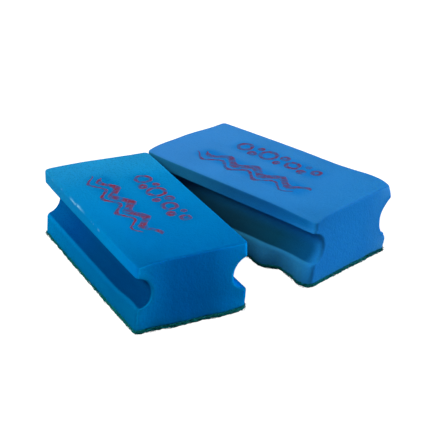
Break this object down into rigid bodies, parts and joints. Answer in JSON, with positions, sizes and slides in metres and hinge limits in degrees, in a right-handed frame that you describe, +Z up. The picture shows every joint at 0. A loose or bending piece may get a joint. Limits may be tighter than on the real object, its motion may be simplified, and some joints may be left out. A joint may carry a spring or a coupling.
{
  "type": "scouring sponge pair",
  "caption": "Waisted blue foam scouring sponges with round finger grooves along their sides, a thin dark scouring fleece underneath and a printed top; they lie side by side.",
  "frame": {"origin": "middle of the first sponge's scouring face, on the surface that both sponges lie on", "axes": "+Y along the first sponge, +X across it towards the second sponge, +Z up"},
  "size_m": [0.1832, 0.162, 0.0443],
  "materials": {
    "blue_foam": "matt open-cell foam",
    "bond_film": "satin adhesive film",
    "scour_fleece": "coarse abrasive fleece",
    "print_ink": "matt print ink"
  },
  "bodies": {
    "sponge_a": {"foam_waist_a": "blue_foam", "foam_base_a": "blue_foam", "bond_film_a": "bond_film", "scour_fleece_a": "scour_fleece"},
    "crown_a": {"foam_crown_a": "blue_foam", "print_a": "print_ink"},
    "sponge_b": {"foam_waist_b": "blue_foam", "foam_base_b": "blue_foam", "bond_film_b": "bond_film", "scour_fleece_b": "scour_fleece"},
    "crown_b": {"foam_crown_b": "blue_foam", "print_b": "print_ink"}
  },
  "joints": [
    {"name": "squeeze_a", "type": "slide", "parent": "sponge_a", "child": "crown_a", "axis": [0, 0, -1], "range_m": [0, 0.01], "stiffness_N_per_m": 1500, "deforming": ["foam_waist_a"]},
    {"name": "lift_b", "type": "slide", "parent": "sponge_a", "child": "sponge_b", "axis": [0, 0, 1], "range_m": [0, 0.06]},
    {"name": "squeeze_b", "type": "slide", "parent": "sponge_b", "child": "crown_b", "axis": [0, 0, -1], "range_m": [0, 0.01], "stiffness_N_per_m": 1500, "deforming": ["foam_waist_b"]}
  ]
}
